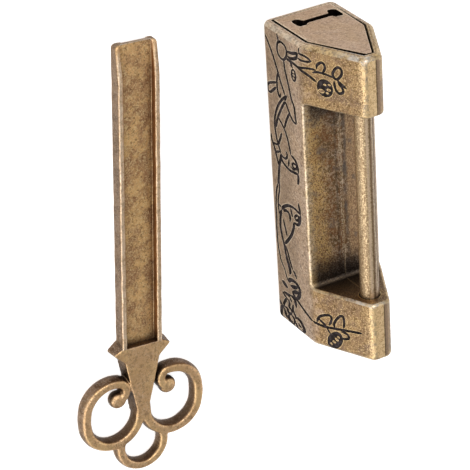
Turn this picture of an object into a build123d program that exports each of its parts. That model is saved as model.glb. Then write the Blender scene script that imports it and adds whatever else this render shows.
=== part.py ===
from build123d import *
import os
from math import cos, radians, sin

# Splitting spring padlock with a house shaped cast body and its slide-in key.
# Millimetres. The origin is the centre of the body's flat base, +Z is up towards the shackle rod,
# the keyhole end is at -X and the bolt slides out at +X. The engraved front is at -Y.

# Body outline
body_length = 72.0
body_width = 17.85
side_height = 15.8
body_height = 29.7
apex_flat = 4.4
base_edge_radius = 1.8
shoulder_edge_radius = 3.0
apex_edge_radius = 1.9
rim_radius = 1.2

# Shackle gap between the two lugs
near_lug_length = 13.7
far_lug_length = 14.2
gap_floor_height = 15.5
gap_corner_radius = 1.0
gap_rim_radius = 0.7

# Cavity and the walls around it
plate_inset = 1.6
ledge_width = 0.8
channel_wall = 2.0
channel_roof = 2.2
lug_wall = 2.4

# End plates
keyhole_plate_thickness = 1.8
bolt_plate_thickness = 1.8
keyhole_plate_clearance = 0.1
bolt_plate_clearance = 0.25
plate_edge_chamfer = 0.15

# Shackle rod
rod_radius = 2.06
rod_height = 25.1
rod_clearance = 0.29
rod_lug_engagement = 4.9
rod_end_gap = 0.8
rod_end_chamfer = 0.4
rod_tenon_radius = 1.3
tenon_clearance = 0.02

# Bolt stem and its splayed spring leaves, set a little behind the middle of the body
mechanism_offset = 1.0
stem_thickness = 2.0
stem_height = 5.2
stem_end_margin = 5.9
stem_tenon_height = 3.0
stem_tenon_thickness = 1.2
leaf_thickness = 0.5
leaf_height = 5.0
leaf_root_margin = 0.8
leaf_root_length = 8.0
leaf_tip_gap = 0.3
leaf_catch = 1.15
shoulder_thickness = 4.0
opening_clearance = 0.25
rivet_radius = 0.7
rivet_clearance = 0.02
rivet_head_radius = 1.25
rivet_head_height = 0.45
rivet_head_rounding = 0.3
rivet_end_margin = 2.1
rivet_spacing = 3.8

# Key blade, an H section that opens upwards in a deep channel
key_height = 3.3
blade_width = 9.7
blade_length = 68.5
flange_thickness = 1.2
web_thickness = 0.8
lower_channel_depth = 0.8
channel_end_inset = 1.4
blade_tip_radius = 0.8
blade_edge_radius = 0.25
tip_lead_length = 8.0
tip_lead_drop = 1.3

# Key collar and neck
collar_length = 5.0
collar_flare = 1.95
collar_tip_radius = 0.7
neck_length = 13.45
neck_side_hollow = 0.25

# Key bow: two scrolls that mirror each other and a small end ring
bow_bar_width = 3.0
bow_bar_height = 3.2
bow_bar_rounding = 1.3
scroll_top = 13.5
scroll_far_radius = 6.45
scroll_near_radius = 6.55
scroll_length = 2.25
scroll_lead_in = 1.4
scroll_near_turn = 102.0
curl_radius = 2.2
curl_turn = 158.0
curl_ball_radius = 2.0
curl_ball_height = 3.0
curl_ball_rounding = 0.9
end_ring_radius = 5.3
end_ring_bar_width = 2.7
end_ring_bar_height = 2.9
end_ring_bar_rounding = 1.2
end_ring_offset = 8.1
end_ring_half_turn = 112.0

# Keyhole, sized from the key's section
keyhole_end_clearance = 0.55
keyhole_slot_clearance = 0.3
keyhole_bulb_clearance = 0.4
keyhole_height = 6.6
keyhole_bulb_length = 2.2
keyhole_taper_length = 0.8
keyhole_corner_radius = 0.9
keyhole_bulb_rounding = 0.5
stem_over_web = 0.45

# The key lies beside the lock, on the same surface, almost parallel to it
key_distance = 42.16
key_yaw = -4.15
key_tip_reach = 40.1

# Places worked out from the sizes above
near_end_x = -body_length / 2
far_end_x = body_length / 2
gap_start_x = near_end_x + near_lug_length
gap_end_x = far_end_x - far_lug_length
gap_length = gap_end_x - gap_start_x
gap_centre_x = (gap_start_x + gap_end_x) / 2
near_seat_x = near_end_x + keyhole_plate_thickness
far_seat_x = far_end_x - bolt_plate_thickness
shoulder_face_x = far_seat_x - shoulder_thickness
pocket_end_x = gap_start_x - lug_wall
rod_end_x = gap_start_x - rod_lug_engagement
stem_end_x = near_seat_x + stem_end_margin
leaf_root_x = stem_end_x + leaf_root_margin
leaf_bend_x = leaf_root_x + leaf_root_length
leaf_tip_x = shoulder_face_x - leaf_tip_gap
slope_length = ((body_width / 2 - apex_flat / 2) ** 2 + (body_height - side_height) ** 2) ** 0.5
slope_normal_y = (body_height - side_height) / slope_length
slope_normal_z = (body_width / 2 - apex_flat / 2) / slope_length
key_channel_width = blade_width - 2 * flange_thickness
opening_half_width = key_channel_width / 2 + opening_clearance
leaf_tip_offset = opening_half_width + leaf_catch
stem_base_z = keyhole_height + web_thickness / 2 + stem_over_web
stem_middle_z = stem_base_z + stem_height / 2


def house_face(inset, apex_radius, shoulder_radius, base_radius):
    """House shaped outline of the body, moved inwards by the inset, in Y and Z."""
    half_width = body_width / 2 - inset
    shoulder_z = side_height - inset * (1 - slope_normal_y) / slope_normal_z
    apex_half = apex_flat / 2 - inset * (1 - slope_normal_z) / slope_normal_y
    apex_z = body_height - inset
    with BuildSketch() as house:
        with BuildLine():
            Polyline(
                (half_width, inset),
                (half_width, shoulder_z),
                (apex_half, apex_z),
                (-apex_half, apex_z),
                (-half_width, shoulder_z),
                (-half_width, inset),
                close=True,
            )
        make_face()
        if apex_radius:
            fillet(house.vertices().group_by(Axis.Y)[-1], apex_radius)
        if shoulder_radius:
            fillet(house.vertices().group_by(Axis.Y)[1], shoulder_radius)
        if base_radius:
            fillet(house.vertices().group_by(Axis.Y)[0], base_radius)
    return house.sketch


body_face = house_face(0, apex_edge_radius, shoulder_edge_radius, base_edge_radius)
recess_face = house_face(plate_inset, 0, 0, 0)
pocket_face = house_face(plate_inset + ledge_width, 0, 0, 0)
keyhole_plate_face = house_face(plate_inset + keyhole_plate_clearance, 0, 0, 0)
bolt_plate_face = house_face(plate_inset + bolt_plate_clearance, 0, 0, 0)

# Cast body: two lugs and a hollow rail between them
with BuildPart() as lock_body:
    with BuildSketch(Plane.YZ.offset(near_end_x)):
        add(body_face)
    extrude(amount=body_length)
    end_faces = lock_body.faces().filter_by(Axis.X)
    fillet(end_faces.edges(), rim_radius)
    with BuildSketch(Plane.XZ) as gap:
        with Locations((gap_centre_x, gap_floor_height + body_height / 2)):
            Rectangle(gap_length, body_height)
        fillet(gap.vertices().group_by(Axis.Y)[0], gap_corner_radius)
    extrude(amount=body_width, both=True, mode=Mode.SUBTRACT)
    gap_faces = lock_body.faces().filter_by(
        lambda face: gap_start_x - rim_radius < face.center().X < gap_end_x + rim_radius
        and face.center().Z > gap_floor_height - rim_radius
        and abs(face.center().Y) < rim_radius
    )
    gap_rim = gap_faces.edges().filter_by(
        lambda edge: abs(edge.center().Y) > body_width / 4 or edge.center().Z > body_height - rim_radius
    )
    fillet(gap_rim, gap_rim_radius)

    # Seats and pockets behind the two end plates
    with BuildSketch(Plane.YZ.offset(near_end_x)):
        add(recess_face)
    extrude(amount=keyhole_plate_thickness, mode=Mode.SUBTRACT)
    with BuildSketch(Plane.YZ.offset(far_seat_x)):
        add(recess_face)
    extrude(amount=bolt_plate_thickness, mode=Mode.SUBTRACT)
    with BuildSketch(Plane.YZ.offset(near_seat_x)):
        add(pocket_face)
    extrude(amount=pocket_end_x - near_seat_x, mode=Mode.SUBTRACT)

    # Channel for the key and the springs, up to the shoulder that holds the leaves
    channel_height = gap_floor_height - channel_roof - channel_wall
    with BuildSketch(Plane.YZ.offset(near_seat_x)):
        with Locations((0, channel_wall + channel_height / 2)):
            Rectangle(body_width - 2 * channel_wall, channel_height)
    extrude(amount=shoulder_face_x - near_seat_x, mode=Mode.SUBTRACT)
    with BuildSketch(Plane.YZ.offset(shoulder_face_x)):
        with Locations((mechanism_offset, stem_middle_z)):
            Rectangle(2 * opening_half_width, stem_height + 2 * opening_clearance)
    extrude(amount=shoulder_thickness, mode=Mode.SUBTRACT)

    # Rod hole, through the far lug and on into the near lug past the rod's end
    rod_hole_start_x = rod_end_x - rod_end_gap
    with BuildSketch(Plane.YZ.offset(rod_hole_start_x)):
        with Locations((0, rod_height)):
            Circle(rod_radius + rod_clearance)
    extrude(amount=far_seat_x - rod_hole_start_x, mode=Mode.SUBTRACT)

# Plate with the keyhole, set flush into the near end
keyhole_half_length = blade_width / 2 + keyhole_end_clearance
keyhole_slot_half = web_thickness / 2 + keyhole_slot_clearance
keyhole_bulb_half = key_height / 2 + keyhole_bulb_clearance
bulb_start = keyhole_half_length - keyhole_bulb_length
with BuildSketch() as keyhole:
    with BuildLine():
        Polyline(
            (bulb_start - keyhole_taper_length, keyhole_slot_half),
            (bulb_start, keyhole_bulb_half),
            (keyhole_half_length, keyhole_bulb_half),
            (keyhole_half_length, -keyhole_bulb_half),
            (bulb_start, -keyhole_bulb_half),
            (bulb_start - keyhole_taper_length, -keyhole_slot_half),
            close=True,
        )
    make_face()
    fillet(keyhole.vertices().group_by(Axis.X)[-1], keyhole_corner_radius)
    for side in (0, -1):
        bulb_corner = keyhole.vertices().group_by(Axis.Y)[side].sort_by(Axis.X)[0]
        fillet(bulb_corner, keyhole_bulb_rounding)
    mirror(about=Plane.YZ)
    Rectangle(2 * bulb_start, 2 * keyhole_slot_half)
with BuildPart() as keyhole_plate:
    with BuildSketch(Plane.YZ.offset(near_end_x)):
        add(keyhole_plate_face)
        with Locations((mechanism_offset, keyhole_height)):
            add(keyhole.sketch, mode=Mode.SUBTRACT)
    extrude(amount=keyhole_plate_thickness)
    outer_rim = keyhole_plate.faces().sort_by(Axis.X)[0].outer_wire()
    chamfer(outer_rim.edges(), plate_edge_chamfer)

# Bolt: end plate, shackle rod and flat stem, staked together at the plate
with BuildPart() as bolt_plate:
    with BuildSketch(Plane.YZ.offset(far_seat_x)):
        add(bolt_plate_face)
        with Locations((0, rod_height)):
            Circle(rod_tenon_radius + tenon_clearance, mode=Mode.SUBTRACT)
        with Locations((mechanism_offset, stem_middle_z)):
            Rectangle(
                stem_tenon_thickness + 2 * tenon_clearance,
                stem_tenon_height + 2 * tenon_clearance,
                mode=Mode.SUBTRACT,
            )
    extrude(amount=bolt_plate_thickness)
    outer_rim = bolt_plate.faces().sort_by(Axis.X)[-1].outer_wire()
    chamfer(outer_rim.edges(), plate_edge_chamfer)

with BuildPart() as shackle_rod:
    with BuildSketch(Plane.YZ.offset(rod_end_x)):
        with Locations((0, rod_height)):
            Circle(rod_radius)
    extrude(amount=far_seat_x - rod_end_x)
    chamfer(shackle_rod.faces().sort_by(Axis.X)[0].edges(), rod_end_chamfer)
    with BuildSketch(Plane.YZ.offset(far_seat_x)):
        with Locations((0, rod_height)):
            Circle(rod_tenon_radius)
    extrude(amount=bolt_plate_thickness)

rivet_places = [leaf_root_x + rivet_end_margin + row * rivet_spacing for row in range(2)]
rivet_planes = [
    Plane(origin=(place, mechanism_offset, stem_middle_z), x_dir=(1, 0, 0), z_dir=(0, 1, 0))
    for place in rivet_places
]
with BuildPart() as bolt_stem:
    with BuildSketch(Plane.YZ.offset(stem_end_x)):
        with Locations((mechanism_offset, stem_middle_z)):
            Rectangle(stem_thickness, stem_height)
    extrude(amount=far_seat_x - stem_end_x)
    with BuildSketch(Plane.YZ.offset(far_seat_x)):
        with Locations((mechanism_offset, stem_middle_z)):
            Rectangle(stem_tenon_thickness, stem_tenon_height)
    extrude(amount=bolt_plate_thickness)
    for rivet_plane in rivet_planes:
        with BuildSketch(rivet_plane):
            Circle(rivet_radius + rivet_clearance)
        extrude(amount=stem_thickness, both=True, mode=Mode.SUBTRACT)

# Spring leaves, flat against the stem at their riveted roots and splayed towards the shoulder
spring_leaves = {}
for name, side in (("spring_leaf_front", -1), ("spring_leaf_back", 1)):
    root_y = mechanism_offset + side * stem_thickness / 2
    tip_y = mechanism_offset + side * (leaf_tip_offset - leaf_thickness)
    with BuildPart() as spring_leaf:
        with BuildSketch(Plane.XY.offset(stem_middle_z)):
            with BuildLine():
                Polyline(
                    (leaf_root_x, root_y),
                    (leaf_bend_x, root_y),
                    (leaf_tip_x, tip_y),
                    (leaf_tip_x, tip_y + side * leaf_thickness),
                    (leaf_bend_x, root_y + side * leaf_thickness),
                    (leaf_root_x, root_y + side * leaf_thickness),
                    close=True,
                )
            make_face()
        extrude(amount=leaf_height / 2, both=True)
        for rivet_plane in rivet_planes:
            with BuildSketch(rivet_plane):
                Circle(rivet_radius + rivet_clearance)
            extrude(amount=stem_thickness, both=True, mode=Mode.SUBTRACT)
    spring_leaves[name] = spring_leaf.part

rivet_half_grip = stem_thickness / 2 + leaf_thickness
with BuildPart() as leaf_rivets:
    for rivet_plane in rivet_planes:
        with BuildSketch(rivet_plane):
            Circle(rivet_radius)
        extrude(amount=rivet_half_grip, both=True)
        for side in (-1, 1):
            with BuildSketch(rivet_plane.offset(side * rivet_half_grip)):
                Circle(rivet_head_radius)
            extrude(amount=side * rivet_head_height)
    for side in (0, -1):
        head_faces = leaf_rivets.faces().group_by(Axis.Y)[side]
        fillet(head_faces.edges(), rivet_head_rounding)

# Key, with u along the blade from the tip to the bow and v across it
key_plane = Plane(
    origin=(0, -key_distance, 0),
    x_dir=(cos(radians(key_yaw)), sin(radians(key_yaw)), 0),
    z_dir=(0, 0, 1),
)
tip_u = -key_tip_reach
collar_start_u = tip_u + blade_length
collar_end_u = collar_start_u + collar_length
scroll_far_u = collar_end_u + neck_length
scroll_near_u = scroll_far_u - scroll_length
scroll_far_v = scroll_top - scroll_far_radius
scroll_near_v = scroll_top - scroll_near_radius
blade_half = blade_width / 2
neck_end_half = scroll_far_v - scroll_far_radius + bow_bar_width / 2
neck_middle_half = (blade_half + neck_end_half) / 2 - neck_side_hollow
curl_start_angle = 90 + scroll_near_turn
curl_reach = scroll_near_radius - curl_radius
curl_u = scroll_near_u + curl_reach * cos(radians(curl_start_angle))
curl_v = scroll_near_v + curl_reach * sin(radians(curl_start_angle))
curl_end_angle = curl_start_angle + curl_turn
ball_u = curl_u + curl_radius * cos(radians(curl_end_angle))
ball_v = curl_v + curl_radius * sin(radians(curl_end_angle))
bow_middle = key_height / 2

with BuildPart() as key:
    with BuildSketch(key_plane) as plan:
        with BuildLine():
            Polyline(
                (scroll_far_u, neck_end_half),
                (scroll_far_u, 0),
                (tip_u, 0),
                (tip_u, blade_half),
                (collar_start_u, blade_half),
                (collar_start_u + collar_length / 2, blade_half + collar_flare),
                (collar_end_u, blade_half),
            )
            ThreePointArc(
                (collar_end_u, blade_half),
                ((collar_end_u + scroll_far_u) / 2, neck_middle_half),
                (scroll_far_u, neck_end_half),
            )
        make_face()
        fillet(plan.vertices().sort_by(Axis.Y)[-1], collar_tip_radius)
        tip_corner = plan.vertices().group_by(Axis.X)[0].sort_by(Axis.Y)[-1]
        fillet(tip_corner, blade_tip_radius)
        mirror(about=Plane.XZ)
    extrude(amount=key_height)
    channel_length = blade_length + channel_end_inset
    with BuildSketch(key_plane.offset(key_height)):
        with Locations((tip_u + channel_length / 2, 0)):
            Rectangle(channel_length, key_channel_width)
    extrude(amount=-(key_height - lower_channel_depth - web_thickness), mode=Mode.SUBTRACT)
    with BuildSketch(key_plane):
        with Locations((tip_u + blade_length / 2, 0)):
            Rectangle(blade_length, key_channel_width)
    extrude(amount=lower_channel_depth, mode=Mode.SUBTRACT)
    fillet(key.faces().sort_by(Axis.Z)[-1].edges(), blade_edge_radius)

    # Lead-in: the flanges grow lower towards the tip
    side_plane = Plane(origin=key_plane.origin, x_dir=key_plane.x_dir, z_dir=-key_plane.y_dir)
    with BuildSketch(side_plane):
        with BuildLine():
            Polyline(
                (tip_u, key_height - tip_lead_drop),
                (tip_u + tip_lead_length, key_height),
                (tip_u, key_height),
                close=True,
            )
        make_face()
    extrude(amount=blade_width, both=True, mode=Mode.SUBTRACT)

    # One scroll: out from the neck, round the far end, back over the top and into the curl
    scroll_plane = key_plane.offset(bow_middle)
    with BuildLine(scroll_plane) as scroll_path:
        Line(
            (scroll_far_u - scroll_lead_in, scroll_far_v - scroll_far_radius),
            (scroll_far_u, scroll_far_v - scroll_far_radius),
        )
        CenterArc((scroll_far_u, scroll_far_v), scroll_far_radius, -90, 180)
        Line((scroll_far_u, scroll_top), (scroll_near_u, scroll_top))
        CenterArc((scroll_near_u, scroll_near_v), scroll_near_radius, 90, scroll_near_turn)
        CenterArc((curl_u, curl_v), curl_radius, curl_start_angle, curl_turn)
    scroll_start = scroll_path.wire() @ 0
    with BuildSketch(Plane(origin=scroll_start, x_dir=key_plane.y_dir, z_dir=scroll_path.wire() % 0)):
        RectangleRounded(bow_bar_width, bow_bar_height, bow_bar_rounding)
    scroll = sweep(path=scroll_path.wire())
    ball_plane = Plane(
        origin=key_plane.from_local_coords((ball_u, ball_v, bow_middle)),
        x_dir=key_plane.x_dir,
        z_dir=-key_plane.y_dir,
    )
    with BuildSketch(ball_plane):
        RectangleRounded(2 * curl_ball_radius, curl_ball_height, curl_ball_rounding)
        with Locations((-curl_ball_radius, 0)):
            Rectangle(2 * curl_ball_radius, curl_ball_height, mode=Mode.SUBTRACT)
    curl_ball = revolve(axis=Axis(ball_plane.origin, (0, 0, 1)))
    for half_bow in (scroll, curl_ball):
        mirror(half_bow, about=Plane(origin=key_plane.origin, z_dir=key_plane.y_dir))

    # Small ring that closes the bow
    with BuildLine(scroll_plane) as ring_path:
        CenterArc(
            (scroll_far_u + end_ring_offset, 0),
            end_ring_radius,
            -end_ring_half_turn,
            2 * end_ring_half_turn,
        )
    ring_wire = ring_path.wire()
    with BuildSketch(Plane(origin=ring_wire @ 0, x_dir=(0, 0, 1), z_dir=ring_wire % 0)):
        RectangleRounded(end_ring_bar_height, end_ring_bar_width, end_ring_bar_rounding)
    sweep(path=ring_wire)

pieces = {
    "lock_body": lock_body.part,
    "keyhole_plate": keyhole_plate.part,
    "bolt_plate": bolt_plate.part,
    "shackle_rod": shackle_rod.part,
    "bolt_stem": bolt_stem.part,
    "leaf_rivets": leaf_rivets.part,
    "key": key.part,
}
pieces.update(spring_leaves)
os.makedirs("parts", exist_ok=True)
for name, piece in pieces.items():
    piece.label = name
    export_step(piece, "parts/" + name + ".step")
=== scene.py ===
import math

import bmesh
import bpy
from mathutils import Matrix, Vector, noise


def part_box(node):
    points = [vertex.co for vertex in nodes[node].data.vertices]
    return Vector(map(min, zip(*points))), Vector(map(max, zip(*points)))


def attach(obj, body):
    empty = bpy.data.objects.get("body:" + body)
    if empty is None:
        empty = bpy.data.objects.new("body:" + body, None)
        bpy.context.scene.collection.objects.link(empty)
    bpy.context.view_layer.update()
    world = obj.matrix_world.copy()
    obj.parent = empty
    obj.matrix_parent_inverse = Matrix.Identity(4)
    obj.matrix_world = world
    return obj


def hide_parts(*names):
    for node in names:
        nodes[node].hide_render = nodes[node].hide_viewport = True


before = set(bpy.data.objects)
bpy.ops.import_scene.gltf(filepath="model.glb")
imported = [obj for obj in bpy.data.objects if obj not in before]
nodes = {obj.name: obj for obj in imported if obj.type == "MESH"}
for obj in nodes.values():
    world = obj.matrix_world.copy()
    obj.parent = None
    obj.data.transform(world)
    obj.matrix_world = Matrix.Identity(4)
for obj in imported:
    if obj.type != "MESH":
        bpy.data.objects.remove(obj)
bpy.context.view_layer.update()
MM = 0.001
scene = bpy.context.scene


def new_object(name, data, *materials):
    made = bpy.data.objects.new(name, data)
    scene.collection.objects.link(made)
    for material in materials:
        data.materials.append(material)
    return made


def cover(mesh, material):
    mesh.materials.clear()
    mesh.materials.append(material)


# Camera, fitted to the photograph
EYE = Vector((-250.052, -243.084, 418.648))
RIGHT = Vector((0.0570806, 0.864255, 0.4998051))
DOWN = Vector((0.8733472, -0.2857921, 0.3944458))
VIEW = Vector((0.4837421, 0.4139882, -0.7711079))
FOCAL_PX = 2498.667
IMAGE_PX = 470
SENSOR = 36.0

camera_data = bpy.data.cameras.new("camera")
camera = new_object("camera", camera_data)
turn = Matrix((RIGHT, -DOWN, -VIEW)).transposed()
camera.matrix_world = Matrix.Translation(EYE * MM) @ turn.to_4x4()
camera_data.sensor_width = SENSOR
camera_data.lens = FOCAL_PX * SENSOR / IMAGE_PX
camera_data.clip_start = 0.05
camera_data.clip_end = 20.0
scene.camera = camera
scene.view_settings.view_transform = "Standard"


# Node helpers
class Shader:
    """Adds nodes to one material or world and joins them up."""

    def __init__(self, owner):
        self.owner = owner
        owner.use_nodes = True
        self.tree = owner.node_tree
        self.tree.nodes.clear()

    def add(self, kind, values=None, **settings):
        """Makes a node, sets or joins its inputs and gives its outputs."""
        node = self.tree.nodes.new(kind)
        for key, value in settings.items():
            setattr(node, key, value)
        for key, value in (values or {}).items():
            if isinstance(value, bpy.types.NodeSocket):
                self.tree.links.new(value, node.inputs[key])
            else:
                node.inputs[key].default_value = value
        return node.outputs

    def math(self, operation, a, b=0.0, clamp=False):
        return self.add("ShaderNodeMath", {0: a, 1: b}, operation=operation, use_clamp=clamp)[0]

    def plus(self, a, b, clamp=False):
        return self.math("ADD", a, b, clamp)

    def minus(self, a, b):
        return self.math("SUBTRACT", a, b)

    def invert(self, share, clamp=False):
        return self.math("SUBTRACT", 1.0, share, clamp)

    def absolute(self, value):
        return self.math("ABSOLUTE", value)

    def times(self, first, *others):
        for other in others:
            first = self.math("MULTIPLY", first, other)
        return first

    def most(self, first, *others):
        for other in others:
            first = self.math("MAXIMUM", first, other)
        return first

    def moved(self, value, wave, amount):
        """A place moved by a wave, so that what is drawn from it wanders."""
        return self.plus(value, self.times(wave, amount))

    def along(self, x, y, way):
        """How far a place or a direction reaches along a way in two numbers."""
        return self.plus(self.times(x, way.x), self.times(y, way.y))

    def ramp(self, value, low, high, to_low=0.0, to_high=1.0):
        values = {"Value": value, "From Min": low, "From Max": high, "To Min": to_low, "To Max": to_high}
        return self.add("ShaderNodeMapRange", values, interpolation_type="SMOOTHSTEP")[0]

    def band(self, value, middle, half, soft):
        """One within half of the middle, falling to nothing over the soft width."""
        return self.ramp(self.absolute(self.minus(value, middle)), half + soft, half)

    def noise(self, place, scale, detail=3.0, rough=0.55, warp=0.0):
        values = {"Vector": place, "Scale": scale, "Detail": detail, "Roughness": rough, "Distortion": warp}
        return self.add("ShaderNodeTexNoise", values)[0]

    def place_in_mm(self):
        place = self.add("ShaderNodeTexCoord")["Object"]
        return self.add("ShaderNodeMapping", {"Vector": place, "Scale": (1 / MM, 1 / MM, 1 / MM)})[0]

    def split(self, vector):
        return self.add("ShaderNodeSeparateXYZ", {0: vector})

    def mix(self, share, a, b):
        """One colour over another, as much as the share says."""
        settings = {"data_type": "RGBA", "blend_type": "MIX", "clamp_factor": True}
        return self.add("ShaderNodeMix", {0: share, 6: a, 7: b}, **settings)[2]

    def blend(self, share, a, b):
        """One shader over another, as much as the share says."""
        return self.add("ShaderNodeMixShader", {0: share, 1: a, 2: b})[0]

    def occlusion(self, reach):
        values = {"Distance": reach * MM}
        return self.add("ShaderNodeAmbientOcclusion", values, samples=8, only_local=True)["AO"]

    def finish(self, shader, output="ShaderNodeOutputMaterial"):
        self.add(output, {"Surface": shader})
        return self.owner


def rgb(r, g, b):
    return (r, g, b, 1.0)


def clamped(share):
    return min(max(share, 0.0), 1.0)


# Places on the lock and the key, in mm
SIDE_HEIGHT = 15.8
APEX_FLAT = 4.4
SHOULDER_RADIUS = 3.0
GAP_START, GAP_END = -22.3, 21.8
GAP_FLOOR = 15.5
PLATE_THICKNESS = 1.8
ROD_RADIUS = 2.06
ROD_HEIGHT = 25.1
body_low, body_high = (Vector(corner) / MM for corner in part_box("lock_body"))
HALF_WIDTH = body_high.y
BODY_HEIGHT = body_high.z
NEAR_END = body_low.x
slope_run = Vector((0.0, HALF_WIDTH - APEX_FLAT / 2, BODY_HEIGHT - SIDE_HEIGHT)).normalized()
SLOPE_OUT = Vector((slope_run.z, slope_run.y))
shoulder_turn = math.atan2(slope_run.y, slope_run.z)
shoulder_reach = SHOULDER_RADIUS * math.tan(shoulder_turn / 2)
PARTING_Y = 0.6
SEAT_SIDE, SEAT_SLOPE = 7.325, 13.314
SEAT_LOW, SEAT_HIGH = 1.6, 28.1
KEY_DISTANCE = 42.16
KEY_YAW = math.radians(-4.15)
KEY_AHEAD = Vector((math.cos(KEY_YAW), math.sin(KEY_YAW), 0.0))
KEY_SIDE = Vector((-math.sin(KEY_YAW), math.cos(KEY_YAW), 0.0))
BLADE_END_U = 29.8
LOOP_U, LOOP_V = 45.8, 7.0

# Colours, in linear light
WHITE = rgb(1.0, 1.0, 1.0)
BODY_FLAT, BODY_WARM = rgb(0.47, 0.335, 0.235), rgb(0.44, 0.3, 0.19)
WORN = rgb(0.8, 0.66, 0.48)
SILVER = rgb(0.56, 0.55, 0.54)
DARK = rgb(0.085, 0.055, 0.032)
# Near black: grime in the cast lines and the parting line, and painted shade in hollows and in the gap.
GRIME_AND_SHADE = rgb(0.03, 0.021, 0.016)
UMBER = rgb(0.13, 0.078, 0.034)
# Near black, for painted shade in the keyhole and round the plate.
HOLE_SHADE = rgb(0.012, 0.008, 0.006)


class Surface(Shader):
    """A metal: its place, how it varies, and the colour and wear that its zones change."""

    def __init__(self, owner):
        super().__init__(owner)
        self.place = self.place_in_mm()
        self.normal = self.add("ShaderNodeNewGeometry")["Normal"]
        self.x, self.y, self.z = self.split(self.place)[:3]
        self.nx, self.ny, self.nz = self.split(self.normal)[:3]
        self.blotch = self.noise(self.place, 0.16, 4.0, 0.6, 0.4)
        self.smear = self.noise(self.place, 0.55, 3.0, 0.6, 0.2)
        self.fine = self.noise(self.place, 1.7, 3.0, 0.7)
        self.speck = self.noise(self.place, 3.4, 1.5, 0.6)
        self.rubbed, self.wear, self.worn = 0.0, 1.0, WORN

    def paint(self, colour, *shares):
        """Lays a colour over what is there, as much as the product of the shares says."""
        self.colour = self.mix(self.times(*shares), self.colour, colour)


def rounded_edges(s):
    """One on the rounded edges of the lock, nothing on its flat faces and its slopes."""
    facing = [s.along(s.absolute(s.ny), s.nz, SLOPE_OUT)] + [s.absolute(n) for n in (s.nx, s.ny, s.nz)]
    return s.invert(s.most(*(s.ramp(n, 0.945, 0.995) for n in facing)), clamp=True)


def seat_walls(s):
    """One on the walls of the keyhole plate's seat, painted near black as shade, which shows as a dark line
    round the plate.
    """
    side = s.absolute(s.y)
    slope = s.along(side, s.z, SLOPE_OUT)
    borders = ((side, SEAT_SIDE, 1), (slope, SEAT_SLOPE, 1), (s.z, SEAT_LOW, -1), (s.z, SEAT_HIGH, 1))
    inside = s.times(*(s.ramp(value, seat + 0.06 * way, seat + 0.02 * way) for value, seat, way in borders))
    past_rim = s.ramp(s.x, NEAR_END + 0.04, NEAR_END + 0.1)
    return s.times(inside, past_rim, s.ramp(s.x, NEAR_END + 2.2, NEAR_END + 1.9))


def paint_slopes(s):
    """Golden brown slopes and lugs, and a darker foot of the front face."""
    height = s.plus(s.z, s.moved(s.times(s.drift, 6.0), s.stray, 8.0))
    s.high = s.ramp(height, SIDE_HEIGHT - 1.6, SIDE_HEIGHT + 2.0)
    golden = s.mix(s.ramp(s.tint, 0.38, 0.62), rgb(0.22, 0.133, 0.068), rgb(0.34, 0.215, 0.095))
    s.paint(golden, s.high, 0.9)
    s.paint(rgb(0.2, 0.135, 0.1), s.high, s.ramp(s.blotch, 0.5, 0.6), 0.5)
    s.paint(UMBER, s.high, s.ramp(s.fine, 0.5, 0.36), 0.75)
    s.paint(rgb(0.66, 0.48, 0.24), s.high, s.ramp(s.speck, 0.54, 0.66), 0.6)
    height = s.plus(s.z, s.moved(s.times(s.drift, 7.0), s.stray, 9.0))
    low = s.times(s.ramp(height, 12.5, 9.0), s.ramp(s.ny, -0.5, -0.9))
    s.paint(s.mix(s.fine, DARK, rgb(0.42, 0.285, 0.17)), low, s.ramp(s.smear, 0.35, 0.65, 0.5, 1.0))


def paint_apex(s):
    """Flat apex: a painted highlight in bright gold in front of the parting line, dull behind it, with a
    painted highlight along the crown below.
    """
    apex = s.times(s.ramp(s.nz, 0.6, 0.95), s.ramp(s.z, BODY_HEIGHT - 1.6, BODY_HEIGHT - 0.4))
    # Painted highlight: bright gold on the apex in front of the parting line.
    golden = s.mix(s.ramp(s.fine, 0.34, 0.62), rgb(0.56, 0.37, 0.185), rgb(1.0, 0.73, 0.41))
    s.paint(golden, apex, s.ramp(s.y, PARTING_Y + 0.1, PARTING_Y - 0.2), 0.92)
    s.paint(rgb(0.36, 0.255, 0.175), apex, s.ramp(s.y, PARTING_Y - 0.1, PARTING_Y + 0.3), 0.8)
    s.paint(GRIME_AND_SHADE, apex, s.band(s.y, PARTING_Y, 0.04, 0.16), 0.6)
    # Painted highlight along the crown, on the front just below the apex.
    crown = s.ramp(s.moved(s.z, s.drift, 1.2), BODY_HEIGHT - 1.9, BODY_HEIGHT - 0.5)
    s.paint(rgb(0.9, 0.65, 0.35), crown, s.high, s.ramp(s.y, 0.0, -0.6), s.ramp(s.speck, 0.35, 0.6), 0.6)


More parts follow.
